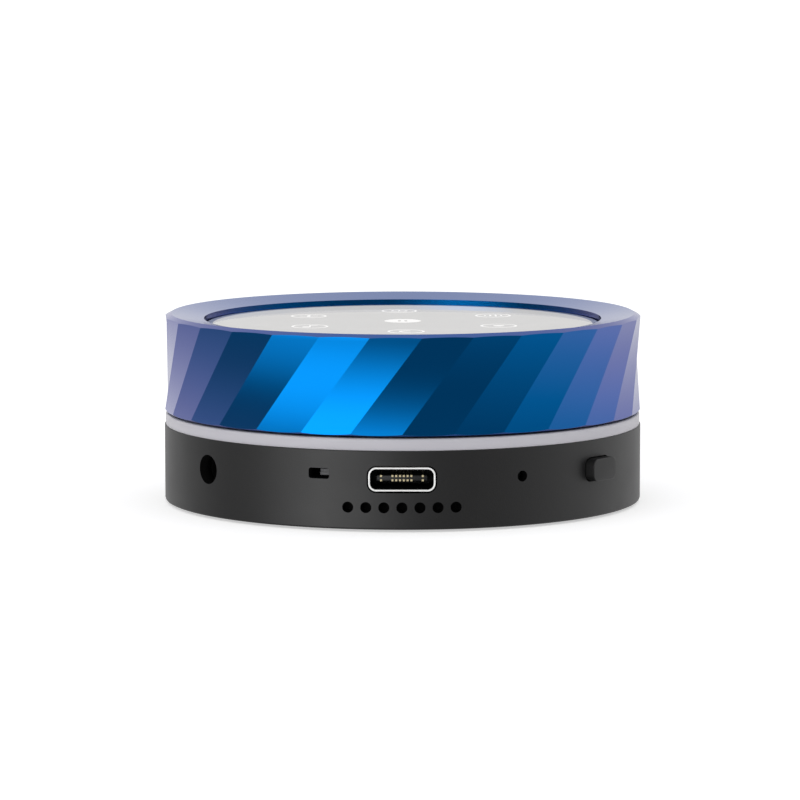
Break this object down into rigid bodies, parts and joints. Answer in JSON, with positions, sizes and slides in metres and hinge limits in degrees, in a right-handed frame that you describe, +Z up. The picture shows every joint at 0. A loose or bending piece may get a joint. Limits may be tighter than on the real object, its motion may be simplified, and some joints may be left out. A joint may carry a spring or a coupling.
{
  "type": "bluetooth audio receiver",
  "caption": "Round desktop wireless audio receiver: faceted blue rotary ring round a fixed display, light ring, dark base with USB-C, headphone jack, switch, button and speaker holes.",
  "frame": {"origin": "middle of the face of the rubber foot that the part stands on", "axes": "+Z up along the knob axis, -Y towards the side with the USB-C socket, +X to the right of it"},
  "size_m": [0.066, 0.066, 0.0261],
  "materials": {
    "base_plastic": "fine satin, dark grey",
    "cover_plastic": "fine texture, dark grey",
    "foot_rubber": "matt black silicone",
    "screw_steel": "zinc plated",
    "insert_brass": "knurled brass",
    "board_green": "solder mask over glass fibre",
    "inner_black": "moulded, unpainted",
    "diffuser_white": "frosted translucent",
    "led_white": "small light package",
    "ring_blue": "blue anodised, satin",
    "hub_natural": "natural acetal",
    "bearing_steel": "ground bearing steel",
    "cage_nylon": "nylon cage",
    "carrier_aluminium": "plain pressed sheet",
    "panel_light": "pale lit display",
    "adhesive_clear": "clear bonding layer",
    "cover_glass": "polished clear glass",
    "ribbon_amber": "polyimide flat cable",
    "socket_ivory": "connector plastic and tape",
    "module_black": "black solder mask",
    "shield_steel": "bright nickel silver",
    "chip_black": "moulded package",
    "contact_gold": "gold plated",
    "switch_grey": "moulded grey",
    "cone_film": "thin film",
    "mesh_black": "woven acoustic mesh",
    "cell_foil": "pouch foil",
    "lead_red": "wire insulation"
  },
  "bodies": {
    "housing": {"base_shell": "base_plastic", "bottom_cover": "cover_plastic", "foot_ring": "foot_rubber", "bottom_screws": "screw_steel", "threaded_inserts": "insert_brass", "main_board": "board_green", "pedestal": "inner_black", "pedestal_screws": "screw_steel", "light_diffuser": "diffuser_white", "light_array": "led_white", "bearing_inner_race": "bearing_steel", "encoder_case": "inner_black", "display_carrier": "carrier_aluminium", "carrier_screws": "screw_steel", "display_panel": "panel_light", "optical_adhesive": "adhesive_clear", "cover_glass": "cover_glass", "display_ribbon": "ribbon_amber", "ribbon_socket": "socket_ivory", "wireless_module": "module_black", "module_shield": "shield_steel", "audio_codec": "chip_black", "power_chips": "chip_black", "usb_shell": "shield_steel", "usb_tongue": "chip_black", "usb_contacts": "contact_gold", "jack_body": "chip_black", "jack_springs": "contact_gold", "slide_switch_case": "shield_steel", "button_switch_case": "inner_black", "mic_boot": "foot_rubber", "mic_capsule": "shield_steel", "speaker_box": "inner_black", "speaker_driver": "shield_steel", "speaker_cone": "cone_film", "speaker_mesh": "mesh_black", "battery_cell": "cell_foil", "battery_tape": "socket_ivory", "battery_leads": "lead_red", "battery_plug": "socket_ivory"},
    "knob": {"knob_ring": "ring_blue", "rotor_hub": "hub_natural", "knob_screws": "screw_steel", "bearing_outer_race": "bearing_steel", "bearing_circlip": "bearing_steel"},
    "ball_train": {"bearing_cage": "cage_nylon", "bearing_balls": "bearing_steel"},
    "encoder_gear": {"encoder_pinion": "hub_natural"},
    "switch_key": {"slide_switch_knob": "switch_grey"},
    "button_cap": {"power_button": "base_plastic", "button_plunger": "hub_natural"}
  },
  "joints": [
    {"name": "knob_turn", "type": "hinge", "parent": "housing", "child": "knob", "pos_m": [0, 0, 0.018], "axis": [0, 0, 1], "continuous": true},
    {"name": "ball_train_turn", "type": "hinge", "parent": "housing", "child": "ball_train", "pos_m": [0, 0, 0.018], "axis": [0, 0, 1], "continuous": true},
    {"name": "encoder_turn", "type": "hinge", "parent": "housing", "child": "encoder_gear", "pos_m": [0, 0.023, 0.013], "axis": [0, 0, 1], "continuous": true},
    {"name": "switch_slide", "type": "slide", "parent": "housing", "child": "switch_key", "axis": [-0.9432, 0.3322, 0], "range_m": [0, 0.00138]},
    {"name": "button_press", "type": "slide", "parent": "housing", "child": "button_cap", "axis": [-0.7965, 0.6046, 0], "range_m": [0, 0.00035], "stiffness_N_per_m": 600, "springref_m": -0.0005}
  ],
  "couplings": [
    {"joint": "ball_train_turn", "follows": "knob_turn", "ratio": 0.53},
    {"joint": "encoder_turn", "follows": "knob_turn", "ratio": 8.6667}
  ]
}
